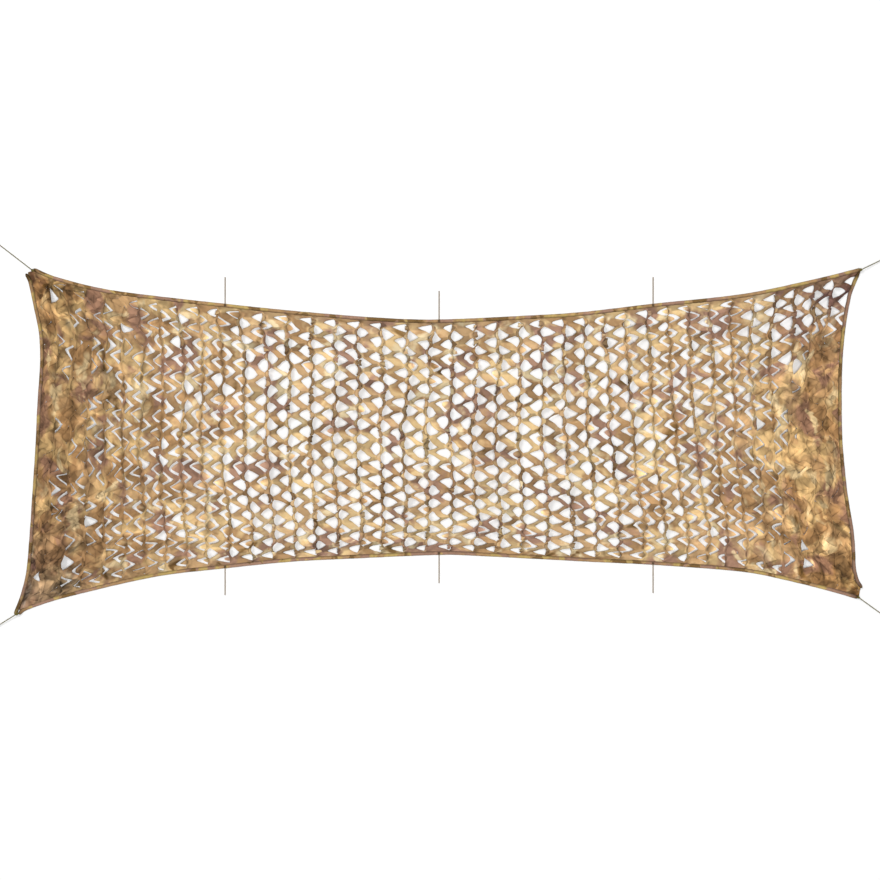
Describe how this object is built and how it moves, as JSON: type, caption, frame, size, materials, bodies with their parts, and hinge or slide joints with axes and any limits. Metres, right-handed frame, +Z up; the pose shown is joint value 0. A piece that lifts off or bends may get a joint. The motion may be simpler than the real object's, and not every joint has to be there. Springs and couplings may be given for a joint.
{
  "type": "camouflage net",
  "caption": "Slit-cloth camouflage net laid out flat and stretched, with folded edge tapes, short tie cords and a knotted cord with a loop at each corner.",
  "frame": {"origin": "under the middle of the net, on the surface that the net lies on", "axes": "+X along the net's length, +Y across it towards the upper long edge, +Z up from the surface"},
  "size_m": [5.5111, 2.4573, 0.0343],
  "materials": {
    "camouflage_cloth": "matt printed woven cloth",
    "edge_tape": "matt printed woven tape, folded and sewn",
    "cordage": "matt twisted cord"
  },
  "bodies": {
    "root": {"netting": "camouflage_cloth", "tape_top": "edge_tape", "tape_bottom": "edge_tape", "tape_left": "edge_tape", "tape_right": "edge_tape", "corner_knot_top_left": "cordage", "corner_knot_top_right": "cordage", "corner_knot_bottom_left": "cordage", "corner_knot_bottom_right": "cordage", "corner_cord_top_left": "cordage", "corner_cord_top_right": "cordage", "corner_cord_bottom_left": "cordage", "corner_cord_bottom_right": "cordage", "end_knot_top_left": "cordage", "end_knot_top_right": "cordage", "end_knot_bottom_left": "cordage", "end_knot_bottom_right": "cordage", "end_loop_top_left": "cordage", "end_loop_top_right": "cordage", "end_loop_bottom_left": "cordage", "end_loop_bottom_right": "cordage", "tie_top_left": "cordage", "tie_top_middle": "cordage", "tie_top_right": "cordage", "tie_bottom_left": "cordage", "tie_bottom_middle": "cordage", "tie_bottom_right": "cordage"}
  },
  "joints": []
}
